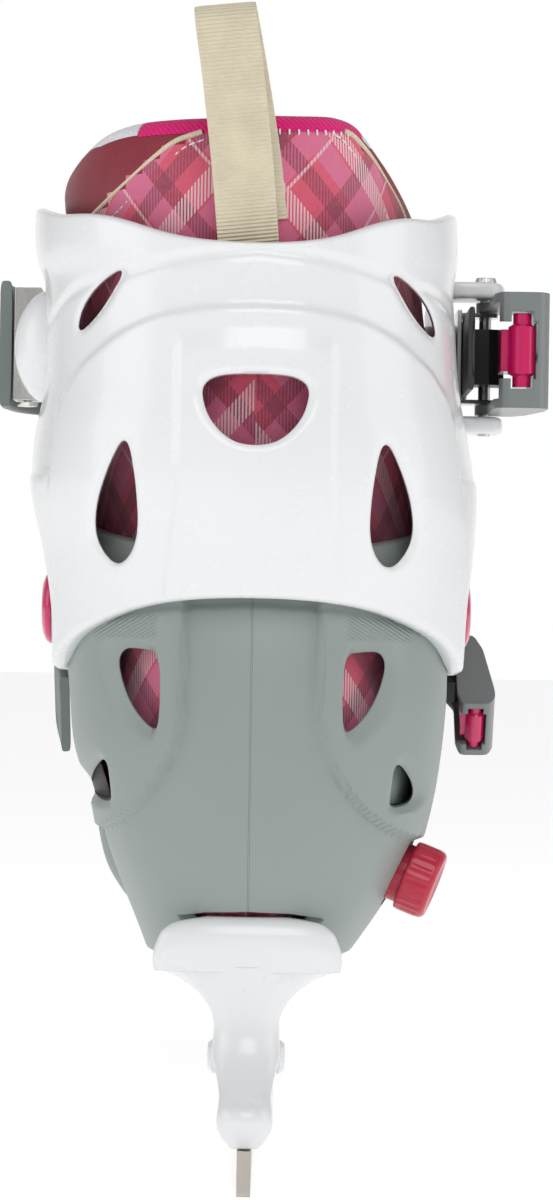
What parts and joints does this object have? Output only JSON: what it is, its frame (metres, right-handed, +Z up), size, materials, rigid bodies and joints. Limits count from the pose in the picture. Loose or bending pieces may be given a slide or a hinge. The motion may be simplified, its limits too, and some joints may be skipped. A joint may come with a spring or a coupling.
{
  "type": "adjustable hard-boot ice skate",
  "caption": "Right-foot ice skate with a hinged white ankle cuff, a grey hard boot that adjusts in length, ratchet straps, a soft tartan inner boot and a steel runner.",
  "frame": {"origin": "middle of the blade's running edge, on its flat bottom face", "axes": "+Z up, +Y towards the toe, +X towards the outer side of the foot, where the buckles are"},
  "size_m": [0.132, 0.2531, 0.2644],
  "materials": {
    "white_plastic": "glossy moulded white",
    "grey_plastic": "satin moulded mid-grey",
    "dark_plastic": "black moulded",
    "pink_plastic": "glossy hot pink",
    "crimson_plastic": "matte crimson",
    "blade_steel": "ground steel",
    "nickel": "nickel plated",
    "tartan_fabric": "printed twill in a pink tartan",
    "lining_fabric": "dark red lining over foam",
    "loop_webbing": "cream ribbed webbing"
  },
  "bodies": {
    "boot": {"blade": "blade_steel", "blade_holder": "white_plastic", "blade_bolt_rear": "white_plastic", "blade_bolt_front": "white_plastic", "blade_nut_rear": "white_plastic", "blade_nut_front": "white_plastic", "holder_bolt_rear": "nickel", "holder_bolt_mid": "nickel", "heel_shell": "grey_plastic", "liner_foot": "tartan_fabric", "footbed": "lining_fabric", "pivot_rivet_inner": "nickel", "pivot_rivet_outer": "nickel", "pivot_washer_inner": "dark_plastic", "pivot_washer_outer": "dark_plastic", "instep_strap": "grey_plastic", "instep_ladder": "dark_plastic", "instep_strap_screw": "nickel", "instep_buckle_base": "nickel", "instep_buckle_pin": "nickel", "size_button_base": "crimson_plastic", "size_button_spring": "nickel"},
    "cuff": {"cuff": "white_plastic", "pivot_cap_inner": "pink_plastic", "pivot_cap_outer": "pink_plastic", "liner_shaft": "tartan_fabric", "liner_tongue": "lining_fabric", "pull_loop": "loop_webbing", "ankle_strap": "grey_plastic", "ankle_ladder": "dark_plastic", "ankle_strap_bracket": "nickel", "ankle_strap_pin": "nickel", "ankle_strap_screw": "nickel", "ankle_buckle_base": "nickel", "ankle_buckle_pin": "nickel"},
    "ankle_lever": {"ankle_buckle_lever": "grey_plastic", "ankle_buckle_pawl": "nickel", "ankle_trigger_spring": "nickel"},
    "ankle_trigger": {"ankle_trigger": "pink_plastic"},
    "instep_lever": {"instep_buckle_lever": "grey_plastic", "instep_buckle_pawl": "nickel", "instep_trigger_spring": "nickel"},
    "instep_trigger": {"instep_trigger": "pink_plastic"},
    "toe": {"toe_shell": "grey_plastic", "size_rack": "dark_plastic", "liner_toe": "tartan_fabric"},
    "size_button": {"size_button": "crimson_plastic"}
  },
  "joints": [
    {"name": "cuff_flex", "type": "hinge", "parent": "boot", "child": "cuff", "pos_m": [0, -0.055, 0.1292], "axis": [-1, 0, 0], "range_deg": [-2, 8], "stiffness_Nm_per_rad": 15},
    {"name": "ankle_buckle", "type": "hinge", "parent": "cuff", "child": "ankle_lever", "pos_m": [0.056, -0.004, 0.192], "axis": [0, 0, 1], "range_deg": [0, 70]},
    {"name": "ankle_release", "type": "hinge", "parent": "ankle_lever", "child": "ankle_trigger", "pos_m": [0.0629, -0.043, 0.192], "axis": [0, 0, -1], "range_deg": [0, 12], "stiffness_Nm_per_rad": 0.05, "deforming": ["ankle_trigger_spring"]},
    {"name": "instep_buckle", "type": "hinge", "parent": "boot", "child": "instep_lever", "pos_m": [0.05, 0.01252, 0.11447], "axis": [0, -0.6157, 0.788], "range_deg": [0, 70]},
    {"name": "instep_release", "type": "hinge", "parent": "instep_lever", "child": "instep_trigger", "pos_m": [0.05497, -0.00394, 0.10161], "axis": [0, 0.6157, -0.788], "range_deg": [0, 12], "stiffness_Nm_per_rad": 0.05, "deforming": ["instep_trigger_spring"]},
    {"name": "size_slide", "type": "slide", "parent": "boot", "child": "toe", "axis": [0, 1, 0], "range_m": [0, 0.02]},
    {"name": "size_press", "type": "slide", "parent": "boot", "child": "size_button", "axis": [-0.925, 0.13, 0.357], "range_m": [0, 0.0022], "stiffness_N_per_m": 900, "deforming": ["size_button_spring"]}
  ]
}
